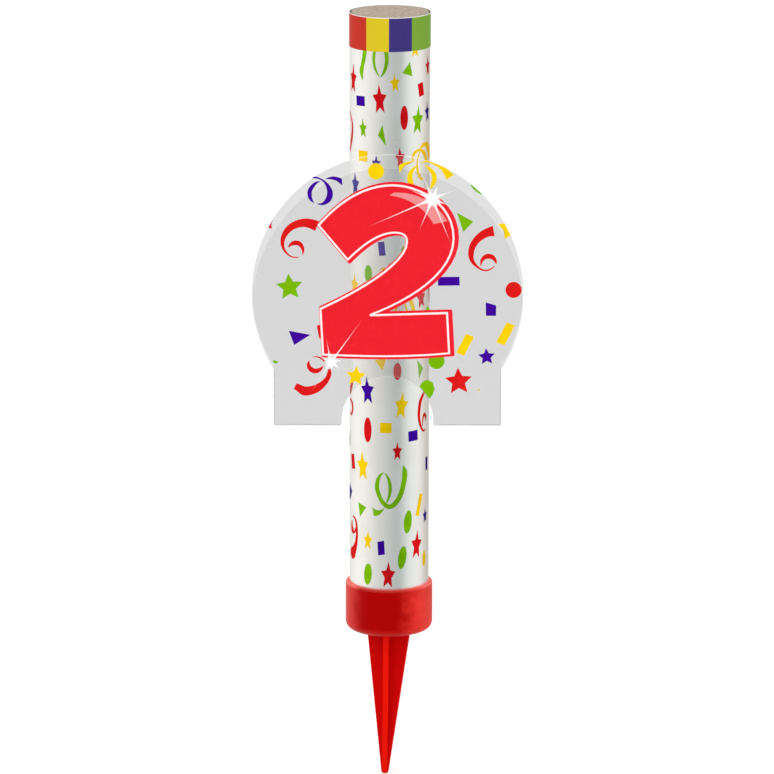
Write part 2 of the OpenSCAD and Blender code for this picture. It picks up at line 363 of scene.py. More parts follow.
# A highlight is painted along the rim, strongest at its two sides.
RIM_SIDE = (5.5, 7.8)
near_rim = ranged_mm(tree, spot["Z"], CUP_H - 0.7, CUP_H - 0.1)
to_side = ranged_mm(tree, maths(tree, "ABSOLUTE", spot["X"]), *RIM_SIDE)
rim_highlight = times(tree, near_rim, times(tree, to_side, 0.75, 0.2))
# The cup's colour holds the painted sheen and the painted rim highlight.
cup_red = mixed(tree, rim_highlight, mixed(tree, mottled_sheen, CUP_RED, CUP_SHEEN), RIM_HIGHLIGHT)
# The moulding's skin is glossy, so the cup's sides mirror the pale room.
SKIN_GLOSS = 0.25
turned = put(tree, "ShaderNodeLayerWeight", {"Blend": 0.5}).outputs["Facing"]
skin = times(tree, ranged(tree, turned, 0.12, 0.5), SKIN_GLOSS)
tree.links.new(skin, foot.shader.inputs["Coat Weight"])
# A glow is painted into the lip round the cup's mouth: its inner wall emits a pale red, as light
# gathered in the thin wall.
LIP_SHARE = 0.6
from_axis = length_of(tree, spot["X"], spot["Y"])
inner_lip = times(
    tree,
    ranged_mm(tree, from_axis, CUP_R + 0.25, CUP_R),
    ranged_mm(tree, spot["Z"], CUP_H - 1.2, CUP_H - 0.4),
)
foot.shader.inputs["Emission Color"].default_value = LIP_GLOW
painted_lip_glow = times(tree, inner_lip, LIP_SHARE)
tree.links.new(painted_lip_glow, foot.shader.inputs["Emission Strength"])
# Light leaves a clear moulding at its edges, so each rib's outer edge is painted the brighter
# red, a painted highlight.
half_w = put(
    tree,
    "ShaderNodeMapRange",
    {0: spot["Z"], 1: 0.0, 2: -SPIKE_LEN * MM, 3: SPIKE_W / 2 * MM, 4: TIP_W / 2 * MM},
).outputs[0]
upright = times(tree, spot["Z"], -math.sin(SPIKE_LEAN), spot["X"])
reach = []
for angle in (RIB_TURN, RIB_TURN + math.pi / 2):
    along = times(tree, upright, math.cos(angle), times(tree, spot["Y"], math.sin(angle)))
    reach.append(maths(tree, "ABSOLUTE", along))
outward = maths(tree, "SUBTRACT", half_w, maths(tree, "MAXIMUM", *reach))
rib_edge_highlight = ranged_mm(tree, outward, 0.22, 0.08)
spike_red = mixed(tree, rib_edge_highlight, FLANK_RED, RIB_HIGHLIGHT_RED)
below = ranged_mm(tree, spot["Z"], 0.05, -0.05)
wear("spike_foot", coloured(foot, mixed(tree, below, cup_red, spike_red)))

# The tube and its filling: a wound kraft paper tube with a clay plug rammed into its foot,
# the pressed spark composition, its priming, a card washer, and the match up to the seal.
KRAFT, KRAFT_DARK = shade(196, 170, 134), shade(164, 136, 102)
WINDING_PITCH = 22 * MM
wound = finish_of("wound_kraft", 1500, (0.75, 0.9), 0.03, stretch=(1, 1, 0.3))
tree = wound.tree
spot = parts_of(tree, wound.place)
turn = times(tree, maths(tree, "ARCTAN2", spot["Y"], spot["X"]), 0.5 / math.pi)
ply = maths(tree, "FRACT", times(tree, spot["Z"], 1 / WINDING_PITCH, turn))
edge = ranged(tree, maths(tree, "ABSOLUTE", maths(tree, "SUBTRACT", ply, 0.5)), 0.47, 0.5)
fibre = mixed(tree, wound.grain, KRAFT_DARK, KRAFT)
wear("paper_tube", coloured(wound, mixed(tree, edge, fibre, KRAFT_DARK)))


def granular(name, dark, light, grains, rough, bump):
    """A pressed or rammed powder: cells of two shades."""
    made = finish_of(name, grains * 2, rough, bump)
    cells = put(made.tree, "ShaderNodeTexVoronoi", {"Vector": made.place, "Scale": float(grains)})
    share = put(made.tree, "ShaderNodeSeparateColor", {0: cells.outputs["Color"]}).outputs[0]
    return coloured(made, mixed(made.tree, share, dark, light))


CLAY, CLAY_PALE = shade(150, 138, 122), shade(178, 168, 152)
CHARGE, CHARGE_PALE = shade(58, 58, 62), shade(120, 120, 126)
PRIMING, PRIMING_PALE = shade(24, 23, 23), shade(48, 45, 43)
wear("base_plug", granular("rammed_clay", CLAY, CLAY_PALE, 1800, (0.8, 0.95), 0.05))
wear("spark_charge", granular("spark_grains", CHARGE, CHARGE_PALE, 1600, (0.5, 0.8), 0.08))
wear("priming_layer", granular("priming_black", PRIMING, PRIMING_PALE, 2400, (0.8, 0.95), 0.05))

CORD_DARK, CORD_PALE = shade(82, 70, 52), shade(158, 140, 108)
STRANDS, TWIST = 3.0, 2600.0
cord = finish_of("match_cord", 1600, (0.8, 0.95), 0.04)
tree = cord.tree
spot = parts_of(tree, cord.place)
round_cord = maths(tree, "ARCTAN2", spot["Y"], spot["X"])
twist = times(tree, spot["Z"], TWIST, times(tree, round_cord, STRANDS))
strand = ranged(tree, maths(tree, "SINE", twist), -0.6, 0.8)
wear("quick_match", coloured(cord, mixed(tree, strand, CORD_DARK, CORD_PALE)))

# The foil wrap: silvered paper glued round the tube, with a lapped seam down the back. It is
# satin, so the room shows in it as soft upright streaks.
FOIL_R = 8.1
FOIL_SILVER, FOIL_WARM = (0.90, 0.90, 0.89, 1), (0.86, 0.85, 0.82, 1)
SEAM_GREY, SEAM_HALF = shade(150, 148, 144), 0.12
foil = finish_of("satin_foil", 420, (0.26, 0.36), 0.012, stretch=(1, 1, 0.25), Metallic=0.92)
tree = foil.tree
spot = parts_of(tree, foil.place)
silver = mixed(tree, ranged(tree, noise(tree, foil.place, 90.0), 0.4, 0.7), FOIL_SILVER, FOIL_WARM)
behind = ranged_mm(tree, spot["Y"], 0, 1)
near_seam = ranged_mm(tree, maths(tree, "ABSOLUTE", spot["X"]), SEAM_HALF, 0.4 * SEAM_HALF)
lap = times(tree, behind, near_seam)
wear("foil_wrap", coloured(foil, mixed(tree, lap, silver, SEAM_GREY)))

# The foil's print: stars, dots, bars, cut corners and curled streamers in four inks. The ink
# is clear, so the foil's shine comes through it. The artwork repeats once behind the tube.
INKS = ("red", "violet", "yellow", "green")
STAR, DOT, BAR, STREAMER, CUT = range(5)
# Each chip is its shape, ink, degrees from the front towards +X, height, then its width,
# height and turn; a streamer is its ink and its path with widths; lengths in millimetres.
foil_chips = [
    (STAR, "yellow", 38.6, 121.54, 2.22, 3.53, 0),
    (STAR, "red", 69.7, 117.33, 1.85, 3.62, 4),
    (STAR, "red", -65.2, 114.77, 2.47, 5.53, -3),
    (STAR, "yellow", 7.1, 114.72, 1.85, 3.43, 4),
    (STAR, "red", -14.7, 111.34, 2.68, 5.62, 3),
    (STAR, "green", 44, 106.8, 2.73, 5.41, -4),
    (STAR, "violet", 68.1, 108.02, 1.81, 3.83, 5),
    (STAR, "green", -41.7, 105.19, 1.81, 3.56, 3),
    (STAR, "red", 14.9, 99.52, 1.89, 3.96, 4),
    (STAR, "violet", -19.6, 98.3, 1.71, 3.34, 0),
    (STAR, "violet", -59, 93.42, 2.65, 4.52, 2),
    (STAR, "yellow", -61.3, 72.64, 2.63, 4.23, -3),
    (STAR, "red", -0.2, 76.3, 1.67, 3.52, 3),
    (STAR, "red", 52.4, 70.32, 2.65, 4.25, 4),
    (STAR, "violet", -33.4, 51.36, 2.86, 5.33, 4),
    (STAR, "yellow", 17.7, 48.48, 2.62, 5.37, -6),
    (STAR, "red", 11.7, 39.03, 1.81, 3.64, 0),
    (STAR, "yellow", -42.3, 35.44, 2.84, 5.67, 3),
    (STAR, "violet", 64.7, 24.57, 1.6, 2.81, 4),
    (STAR, "yellow", -32.4, 20.1, 1.9, 3.69, -2),
    (STAR, "red", 44, 18.9, 2.64, 5.55, -4),
    (STAR, "red", -1.4, 13.05, 2.68, 5.23, -2),
    (STAR, "red", 7.4, 90.64, 2.2, 4.4, 3),
    (STAR, "green", -38, 85.7, 2.3, 4.6, -4),
    (STAR, "violet", 48, 80.2, 2.1, 4.2, 2),
    (STAR, "red", -34, 64.2, 2.3, 4.6, 3),
    (STAR, "green", 28, 61.7, 2.2, 4.4, -3),
    (DOT, "red", 20.9, 107.7, 1.66, 4.99, 0),
    (DOT, "red", 11.5, 55.78, 1.68, 3.56, 0),
    (DOT, "green", -32, 75.72, 1.73, 3.61, 0),
    (DOT, "green", 20.7, 80.13, 1.25, 2.84, 0),
    (DOT, "red", -32.8, 43.34, 1.81, 5.25, 0),
    (DOT, "green", 28.1, 24.17, 1.79, 4.9, -6),
    (DOT, "green", 19.4, 16.79, 1.78, 4.86, -8),
    (DOT, "yellow", 61.8, 15.6, 1.29, 3.32, 0),
    (DOT, "green", -32.3, 13.1, 1.86, 4.59, -4),
    (DOT, "green", -84.3, 40.1, 1, 3.21, 0),
    (DOT, "yellow", 36.1, 87.36, 1.44, 3.24, 3),
    (DOT, "red", -56, 82.2, 1.6, 3.8, 0),
    (DOT, "yellow", -12, 62.2, 1.6, 3.4, 4),
    (BAR, "violet", -46.9, 110.77, 2.42, 2.03, 3),
    (BAR, "red", 50.5, 113.05, 1.56, 2.7, 10),
    (BAR, "yellow", -41.8, 99.66, 2.34, 2.18, 0),
    (BAR, "violet", -11.3, 81.04, 1.34, 2.84, 6),
    (BAR, "yellow", -8.3, 76.4, 1, 1.58, 0),
    (BAR, "yellow", -5, 44.03, 2.39, 2.12, -1),
    (BAR, "violet", 36.9, 42.04, 2.33, 2.14, 2),
    (BAR, "red", -65.8, 35.92, 1.4, 3.07, 9),
    (BAR, "violet", 69.6, 35.42, 1.03, 2.73, 1),
    (BAR, "yellow", 49, 27.29, 0.99, 4.58, -15),
    (BAR, "violet", -14, 88.2, 2, 2.4, 6),
    (BAR, "red", 58, 62.2, 1.6, 2.6, -5),
    (BAR, "green", -60, 61.2, 1.8, 2.6, 5),
    # Inside the cup, all round
    (DOT, "red", -58, 5.4, 1.3, 2.6, 0),
    (STAR, "violet", -14, 5.3, 2.1, 4, 4),
    (BAR, "yellow", 22, 5.6, 1.9, 1.4, 8),
    (STAR, "green", 55, 5.2, 2.1, 4, -3),
    (BAR, "violet", 90, 5, 1.3, 2.1, 4),
    (STAR, "red", 122, 5.6, 2.3, 4.4, 2),
    (DOT, "yellow", 150, 5, 1.2, 2.6, 0),
    (BAR, "red", -96, 5.8, 1.3, 1.9, -6),
    (STAR, "yellow", -130, 5.2, 2, 3.8, 3),
    (DOT, "green", -162, 5.4, 1.3, 2.8, 0),
]
foil_cuts = [
    ("green", [(2.5, 116.78), (4.19, 118.93), (4.75, 115.99)]),
    ("green", [(-2.39, 104.17), (-1.47, 106.38), (-0.71, 102.05)]),
    ("yellow", [(-3.01, 57.99), (-1.37, 55.91), (-0.7, 58.51)]),
    ("green", [(6.24, 57.61), (6.81, 53.74), (8.09, 55.7)]),
    ("green", [(-7.19, 27.78), (-4.96, 27.1), (-6.65, 24.8)]),
    ("violet", [(-11.91, 31), (-11, 30.5), (-9.8, 29.5), (-10.9, 27.8), (-11.91, 27.2)]),
    ("violet", [(-2.42, 20.12), (-1.03, 20.44), (-0.86, 17.56), (-2.25, 17.24)]),
    ("green", [
        (-3.57, 27.35), (-2.89, 26.8), (-2.15, 26.76), (-1.48, 26.97), (-0.94, 27.31),
        (-1.36, 26.5), (-1.95, 25.86), (-2.69, 25.52), (-3.26, 25.56), (-3.36, 26.46)
    ]),
]
foil_streamers = [
    ("green", [
        (-5.35, 121.63, 0.97), (-5.62, 119.74, 0.94), (-6.03, 118.05, 0.91),
        (-6.32, 116.77, 1.01), (-6.09, 115.56, 0.43), (-6.01, 115.05, 0.07)
    ]),
    ("green", [
        (-3.09, 121.69, 0.58), (-3.24, 120.55, 0.61), (-3.31, 119.1, 0.58),
        (-3.04, 117.78, 0.48), (-2.6, 116.77, 0.31), (-2.04, 116.02, 0.07)
    ]),
    ("green", [
        (-0.8, 121.64, 0.86), (-0.67, 120.41, 0.8), (-0.63, 119.17, 0.76), (-0.89, 117.83, 0.67),
        (-1.36, 116.68, 0.45), (-1.97, 115.92, 0.07)
    ]),
    ("red", [
        (-11.46, 108.02, 0.34), (-9.92, 106.3, 0.54), (-9.57, 104.7, 0.7),
        (-10.13, 102.31, 0.91), (-11.41, 99.79, 0.61)
    ]),
    ("yellow", [
        (6.84, 100.81, 0.33), (7.59, 101.51, 0.66), (8.84, 101.71, 0.83), (9.94, 100.96, 1.43),
        (10.64, 99.66, 1.43), (11.04, 98.36, 0.88)
    ]),
    ("yellow", [
        (5.05, 98.62, 0.17), (4.88, 99.1, 0.46), (4.94, 99.64, 0.55), (5.26, 100.22, 0.57),
        (5.9, 100.66, 0.55), (6.82, 100.78, 0.44), (7.92, 100.25, 0.77), (8.82, 99.2, 0.99),
        (9.22, 98, 0.99)
    ]),
    ("yellow", [
        (6.85, 100.5, 0.11), (6.5, 99.95, 0.33), (6.25, 99.2, 0.33), (6.08, 98.4, 0.35),
        (6.05, 97.5, 0.51), (6.32, 96.22, 0.7), (7.04, 95.04, 0.79), (8, 94.65, 0.26)
    ]),
    ("yellow", [
        (1.05, 67.2, 0.35), (1.28, 68.6, 0.5), (1.8, 70, 0.46), (2.8, 71.1, 0.37),
        (3.9, 71.1, 0.6), (4.6, 69.97, 0.88), (5.25, 67.95, 0.88), (5.45, 66.9, 0.5)
    ]),
    ("yellow", [(2.93, 70.48, 0.1), (3.28, 69.48, 0.34), (3.66, 68.11, 0.42), (3.81, 66.98, 0.3)]),
    ("red", [(10.9, 73.2, 0.5), (11.5, 71, 1.2), (12.1, 69.3, 0.8), (12.6, 68.4, 0.3)]),
    ("red", [
        (8.63, 50.58, 0.6), (7.28, 49.03, 0.85), (6.76, 46.5, 0.78), (7.01, 44.53, 0.65),
        (7.68, 43.13, 0.5), (8.38, 42.53, 0.4), (9.18, 42.68, 0.25)
    ]),
    ("red", [
        (7.91, 43.64, 0.15), (8.13, 45.14, 0.45), (8.61, 45.99, 0.55), (9.26, 45.34, 0.7),
        (9.26, 44.44, 0.2)
    ]),
    ("red", [
        (-11.19, 48.75, 0.5), (-9.8, 48.12, 0.7), (-9.46, 46.93, 0.7), (-10.19, 45.52, 0.45),
        (-11.22, 46.02, 0.3)
    ]),
    ("red", [(-9.44, 52.88, 0.91), (-10.29, 51.45, 1.2), (-11.18, 49.79, 1)]),
    ("green", [
        (2.88, 36.18, 0.07), (3.1, 35.33, 0.76), (3.24, 34.63, 1.12), (3.18, 33.33, 1.1),
        (2.88, 31.83, 1.07), (2.47, 30.38, 1.05), (1.82, 29.03, 1.02), (0.98, 28.01, 1.02),
        (0.12, 27.58, 0.98), (-0.7, 27.85, 0.9), (-1.48, 28.68, 0.84), (-2.07, 29.9, 0.85),
        (-2.51, 31.39, 0.87), (-2.37, 32.95, 0.79), (-1.85, 34.1, 0.55), (-1.13, 34.75, 0.13)
    ]),
    ("green", [
        (-0.96, 34.66, 0.1), (-0.22, 33.56, 0.54), (0.17, 32.04, 0.7), (0.14, 30.44, 0.63),
        (-0.19, 29.15, 0.48), (-0.7, 28.18, 0.1)
    ]),
    ("red", [
        (-9.28, 24.5, 0.34), (-8.23, 24, 0.5), (-7.83, 22.85, 0.62), (-7.66, 21, 0.72),
        (-7.96, 19.1, 0.9), (-8.68, 17.6, 1.62), (-9.48, 16.6, 2.5), (-10.18, 15.7, 1.38)
    ]),
    ("red", [
        (-9.73, 23.42, 0.31), (-9.88, 22.32, 0.75), (-9.43, 21.37, 1.12), (-8.78, 20.87, 0.38)
    ]),
    ("red", [(-8.4, 22.11, 0.25), (-8.2, 21.76, 0.5), (-8.6, 21.11, 0.44)]),
]
PRINT_LOW, PRINT_HIGH, REPEAT_RISE = 12.0, 119.0, 41.0


def raised(z):
    """How far the repeat behind the tube lifts a piece of artwork at that height."""
    return PRINT_LOW + (z - PRINT_LOW + REPEAT_RISE) % (PRINT_HIGH - PRINT_LOW) - z


def artwork_of(name, chips, cuts, streamers):
    """A flat mesh of artwork: a loose point for each chip, a face for each cut shape and a run
    of edges for each streamer, with the shape, ink, size, turn and width on the points."""
    points, edges, faces = [], [], []
    form, ink, size, turn, width = [], [], [], [], []

    def point(x, y, kind, colour, extent=(0, 0), angle=0.0, across=0.0):
        points.append((x * MM, y * MM, 0))
        form.append(kind)
        ink.append(INKS.index(colour))
        size.extend((extent[0] * MM, extent[1] * MM, 1))
        turn.append(math.radians(angle))
        width.append(across * MM)

    for kind, colour, x, y, w, h, angle in chips:
        point(x, y, kind, colour, (w, h), angle)
    for colour, corners in cuts:
        faces.append(range(len(points), len(points) + len(corners)))
        for x, y in corners:
            point(x, y, CUT, colour)
    for colour, path in streamers:
        first = len(points)
        edges.extend((first + i, first + i + 1) for i in range(len(path) - 1))
        for x, y, across in path:
            point(x, y, STREAMER, colour, across=across)
    mesh = bpy.data.meshes.new(name)
    mesh.from_pydata(points, edges, faces)
    for attribute, kind, values in (
        ("form", "INT", form),
        ("ink", "INT", ink),
        ("turn", "FLOAT", turn),
        ("width", "FLOAT", width),
    ):
        mesh.attributes.new(attribute, kind, "POINT").data.foreach_set("value", values)
    mesh.attributes.new("extent", "FLOAT_VECTOR", "POINT").data.foreach_set("vector", size)
    made = bpy.data.objects.new(name, mesh)
    scene.collection.objects.link(made)
    return made


def print_tree(name, lay, inputs):
    """Nodes that turn flat artwork into thin ink. lay gets the tree, a point's x, y and height
    in the ink as sockets and the tree's inputs, and gives its place on the object."""
    sizes = {socket: "Float" for socket in ("Ink Thickness", *inputs)}
    inks = {f"{colour} ink": "Material" for colour in INKS}
    tree, given, result = group_of(
        name, {"Artwork": "Geometry", **sizes, **inks}, {"Print": "Geometry"}, "GeometryNodeTree"
    )

    def step(kind, feeds=None, **settings):
        return put(tree, f"GeometryNode{kind}", feeds, **settings).outputs[0]

    def stored(attribute, kind):
        return step("InputNamedAttribute", {"Name": attribute}, data_type=kind)

    def same(a, b):
        return put(tree, "FunctionNodeCompare", {2: a, 3: b}, data_type="INT", operation="EQUAL").outputs[0]

    def only(kind):
        return step("SeparateGeometry", {0: given["Artwork"], 1: same(stored("form", "INT"), kind)})

    def filled(outline, level):
        return step("SubdivideMesh", {0: step("FillCurve", {0: outline}, mode="NGONS"), 1: level})

    star = step("CurveStar", {"Points": 5, "Inner Radius": 0.275, "Outer Radius": 0.575})
    upright = step("Transform", {0: star, "Rotation": (0, 0, math.pi / 2)})
    dot = step("CurvePrimitiveCircle", {"Resolution": 16, "Radius": 0.5})
    bar = step("CurvePrimitiveQuadrilateral", {"Width": 1.0, "Height": 1.0})
    flat = put(tree, "GeometryNodeJoinGeometry")
    angle = put(tree, "ShaderNodeCombineXYZ", {"Z": stored("turn", "FLOAT")}).outputs[0]
    for kind, outline, level in ((STAR, upright, 2), (DOT, dot, 1), (BAR, bar, 2)):
        placed = step(
            "InstanceOnPoints",
            {
                "Points": only(kind),
                "Instance": filled(outline, level),
                "Rotation": angle,
                "Scale": stored("extent", "FLOAT_VECTOR"),
            },
        )
        tree.links.new(step("RealizeInstances", {0: placed}), flat.inputs[0])
    tree.links.new(step("SubdivideMesh", {0: only(CUT), 1: 2}), flat.inputs[0])
    curled = step("MeshToCurve", {0: only(STREAMER)})
    curled = step("CurveSplineType", {0: curled}, spline_type="CATMULL_ROM")
    curled = step("SetSplineResolution", {0: curled, "Resolution": 4})
    curled = step("SetCurveNormal", {0: curled}, mode="Z_UP")
    across = step("CurvePrimitiveLine", {"Start": (-0.5, 0, 0), "End": (0.5, 0, 0)})
    across = step("ResampleCurve", {0: across, "Count": 4})
    ribbon = step("CurveToMesh", {0: curled, 1: across, "Scale": stored("width", "FLOAT")})
    tree.links.new(ribbon, flat.inputs[0])

    facing = parts_of(tree, step("InputNormal"))["Z"]
    downward = put(
        tree, "FunctionNodeCompare", {0: facing, 1: 0.0}, data_type="FLOAT", operation="LESS_THAN"
    ).outputs[0]
    face_up = step("FlipFaces", {0: flat.outputs[0], 1: downward})
    smooth = step("SetShadeSmooth", {0: face_up, "Shade Smooth": True})
    rise = put(tree, "ShaderNodeCombineXYZ", {"Z": 1.0}).outputs[0]
    lifted = put(
        tree,
        "GeometryNodeExtrudeMesh",
        {"Mesh": smooth, "Offset": rise, "Offset Scale": given["Ink Thickness"], "Individual": False},
    ).outputs
    walls = {0: lifted["Mesh"], 1: lifted["Side"], "Shade Smooth": False}
    closed = put(tree, "GeometryNodeJoinGeometry")
    tree.links.new(step("SetShadeSmooth", walls, domain="EDGE"), closed.inputs[0])
    tree.links.new(step("FlipFaces", {0: face_up}), closed.inputs[0])
    solid = step("MergeByDistance", {0: closed.outputs[0], "Distance": 0.0005 * MM})

    at = parts_of(tree, step("InputPosition"))
    laid = step("SetPosition", {0: solid, "Position": lay(tree, at, given)})
    laid = step("RealizeInstances", {0: laid})
    for number, colour in enumerate(INKS):
        chosen = same(stored("ink", "INT"), number)
        laid = step("SetMaterial", {0: laid, 1: chosen, 2: given[f"{colour} ink"]})
    tree.links.new(laid, result.inputs["Print"])
    return tree


def printed(artwork, tree, values):
    """Runs the artwork through the tree, whose inputs take the values by name, and keeps the
    result as the object's plain mesh."""
    modifier = artwork.modifiers.new("print", "NODES")
    modifier.node_group = tree
    for item in tree.interface.items_tree:
        if item.in_out == "INPUT" and item.name in values:
            modifier[item.identifier] = values[item.name]
    graph = bpy.context.evaluated_depsgraph_get()
    mesh = bpy.data.meshes.new_from_object(artwork.evaluated_get(graph), depsgraph=graph)
    artwork.modifiers.remove(modifier)
    flat, artwork.data = artwork.data, mesh
    bpy.data.meshes.remove(flat)


def round_the_tube(tree, at, given):
    """Lays x along the tube's girth from the front, and y up the tube."""
    radius = maths(tree, "ADD", given["Radius"], at["Z"])
    angle = maths(tree, "DIVIDE", at["X"], given["Radius"])
    forward = times(tree, radius, maths(tree, "COSINE", angle))
    return put(
        tree,
        "ShaderNodeCombineXYZ",
        {
            "X": times(tree, radius, maths(tree, "SINE", angle)),
            "Y": times(tree, forward, -1.0),
            "Z": at["Y"],
        },
    ).outputs[0]


def clouded(finish, scale, deep, bright):
    """Two near shades in soft patches."""
    patch = noise(finish.tree, finish.place, scale)
    return mixed(finish.tree, ranged(finish.tree, patch, 0.35, 0.65), deep, bright)


def foil_ink(colour, deep, bright):
    """Clear ink over foil: the metal's shine in the ink's colour."""
    shine = {"Metallic": 0.85, "Specular Tint": deep}
    made = finish_of(f"foil_ink_{colour}", 420, (0.28, 0.38), 0.006, (1, 1, 0.25), **shine)
    return coloured(made, clouded(made, 500.0, deep, bright))


foil_inks = {
    "red ink": foil_ink("red", shade(216, 18, 26), shade(226, 26, 32)),
    "violet ink": foil_ink("violet", shade(56, 6, 152), shade(66, 12, 166)),
    "yellow ink": foil_ink("yellow", shade(252, 208, 0), shade(255, 216, 14)),
    "green ink": foil_ink("green", shade(122, 186, 0), shade(132, 198, 10)),
}
GIRTH = 2 * math.pi * FOIL_R
INK_THICK, INK_SUNK = 0.03, 0.008
# The repeat takes what lies this near the front. A streamer starts so far above its middle.
FRONT_HALF, STREAMER_RISE = 9.5, 6
front_chips = [(kind, colour, degrees / 360 * GIRTH, *rest) for kind, colour, degrees, *rest in foil_chips]
back_chips = [
    (kind, colour, x + GIRTH / 2, z + raised(z), *rest)
    for kind, colour, x, z, *rest in front_chips
    if abs(x) < FRONT_HALF and z > PRINT_LOW
]
back_cuts = [
    (colour, [(x + GIRTH / 2, z + raised(corners[0][1])) for x, z in corners])
    for colour, corners in foil_cuts
    if abs(corners[0][0]) < FRONT_HALF
]
back_streamers = [
    (colour, [(x + GIRTH / 2, z + raised(path[0][1] - STREAMER_RISE), w) for x, z, w in path])
    for colour, path in foil_streamers
    if abs(path[0][0]) < FRONT_HALF
]
foil_print = artwork_of(
    "foil_print", front_chips + back_chips, foil_cuts + back_cuts, foil_streamers + back_streamers
)
printed(
    foil_print,
    print_tree("ink_round_the_tube", round_the_tube, ["Radius"]),
    {"Ink Thickness": INK_THICK * MM, "Radius": (FOIL_R - INK_SUNK) * MM, **foil_inks},
)
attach(foil_print, "fountain")

# The striped band: a strip of printed paper glued round the tube's top, over the foil and up
# past the tube's end. Four colours stand side by side and come round twice.
BAND_TOP, BAND_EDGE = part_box("stripe_band")[1].z, 0.2 * MM
YELLOW, VIOLET = shade(217, 193, 20), shade(56, 42, 118)
GREEN, RED = shade(122, 166, 48), shade(198, 44, 28)
RAW_PAPER, SHADED_PAPER_INSIDE = shade(240, 238, 232), shade(150, 138, 126)
# Degrees from the front towards +X where each stripe starts
STRIPES = [
    (-180, YELLOW), (-146.8, VIOLET), (-126, GREEN), (-91.5, RED), (-36.3, YELLOW), (-2.7, VIOLET),
    (31.2, GREEN), (91.5, RED), (143.1, YELLOW),
]
band = finish_of("striped_paper", 2600, (0.42, 0.55), 0.004, **{"Specular IOR Level": 0.05})
tree = band.tree
spot = parts_of(tree, band.place)
stripes = round_ramp(tree, band.place, STRIPES, hard=True)
fleck = mixed(tree, times(tree, band.grain, 0.02), stripes, WHITE)
raw_edge = ranged(tree, spot["Z"], BAND_TOP - BAND_EDGE, BAND_TOP - 0.6 * BAND_EDGE)
outside = mixed(tree, raw_edge, fleck, RAW_PAPER)
# Only the outside is printed; the inside is painted a grey-brown far darker than the raw paper,
# as painted shade inside the band.
from_axis = length_of(tree, spot["X"], spot["Y"])
inner = ranged_mm(tree, from_axis, FOIL_R + 0.06, FOIL_R + 0.02)
wear("stripe_band", coloured(band, mixed(tree, inner, outside, SHADED_PAPER_INSIDE)))

# The card seal and the washer: discs punched from brown greyboard, faintly crowned where the
# seal was pressed in. The fibres show as short flecks.
CARD_DARK, CARD_PALE, CARD_WORN = shade(150, 132, 115), shade(188, 174, 157), shade(171, 157, 140)
card = finish_of("brown_card", 3000, (0.8, 0.95), 0.03)
tree = card.tree
flecks = noise(tree, card.place, 1500.0, 6.0, 0.7)
patches = noise(tree, card.place, 320.0)
tan = mixed(tree, ranged(tree, flecks, 0.36, 0.64), CARD_DARK, CARD_PALE)
wear("card_seal", coloured(card, mixed(tree, ranged(tree, patches, 0.35, 0.75), tan, CARD_WORN)))
wear("retaining_washer", card.material)

# The clips and their tape: two clear snap rings, moulded, open at the back, each stuck to the
# plate by a strip of white foam tape.
clear = finish_of("clear_clip", 700, (0.08, 0.16), 0.01, IOR=1.49)
tree = clear.tree
haze = noise(tree, clear.place, 400.0)
coloured(clear, mixed(tree, haze, shade(226, 232, 236), shade(240, 243, 245)))
outer = maths(tree, "SUBTRACT", 1.0, put(tree, "ShaderNodeNewGeometry").outputs["Backfacing"])
rim = put(tree, "ShaderNodeLayerWeight", {"Blend": 0.35}).outputs["Facing"]
body = times(tree, rim, 0.5, 0.14)
tree.links.new(times(tree, outer, body), clear.shader.inputs["Alpha"])
tape = finish_of("foam_tape", 2600, (0.75, 0.9), 0.05)
pores = put(tape.tree, "ShaderNodeTexVoronoi", {"Vector": tape.place, "Scale": 2400.0}).outputs["Distance"]
coloured(tape, mixed(tape.tree, pores, shade(214, 213, 206), shade(240, 239, 234)))
for side in ("upper", "lower"):
    wear(f"{side}_clip", clear.material)
    wear(f"{side}_clip_tape", tape.material)

# The plaque: a clear printed film on a tinted, faintly frosted plate, both die-cut. The plate
# is cut lower at the top, so a crescent of bare film stands over it.
PLAQUE_SIDE, PLAQUE_Z = -0.4, 72.4
# The plate's cut edge shows dark only on its feet: heights, and distances from the axis, where
# that starts and is full.
FEET_LOW, FEET_ASIDE = (PLAQUE_Z - 15, PLAQUE_Z - 16.5), (9.7, 10.4)
PLATE_GREY, PLATE_EDGE, FILM_GREY = (0.03, 0.03, 0.03, 1), (0.2, 0.2, 0.2, 1), (0.7, 0.7, 0.7, 1)
# A ray's half width, the flare at its root and how fast that narrows, as shares of the core,
# and the soft edge in millimetres
RAY_HALF, FLARE, NARROWING, SOFT_EDGE = 0.17, 0.45, 0.4, 0.12
# Highlights printed on the number, in millimetres from the disc's centre: place, core, and
# the reach of each ray to the right and up.
GLINTS = [
    ((8.95, 19.62), 1.28, [
        (-2.8, 6.8), (1.6, 3.8), (7.4, 2.9), (-15.4, -6.8), (-3.3, -8.0), (4.5, -11.0),
        (4.0, -1.7), (-5.8, 2.4),
    ]),
    ((-11.4, -13.91), 1.12, [
        (-1.1, 6.0), (7.4, 10.3), (3.2, 0.5), (3.2, -2.4), (-2.3, 1.4), (0.3, -2.6),
        (-4.5, -7.0),
    ]),
]


def on_plaque(tree, place):
    """A point's place on the plaque in millimetres from the disc's centre, as (right, up)."""
    scaled = put(
        tree,
        "ShaderNodeVectorMath",
        {0: place, 1: (1 / MM, 1 / MM, 1 / MM), 2: (-PLAQUE_SIDE, 0, -PLAQUE_Z)},
        operation="MULTIPLY_ADD",
    ).outputs[0]
    parts = parts_of(tree, scaled)
    return parts["X"], parts["Z"]


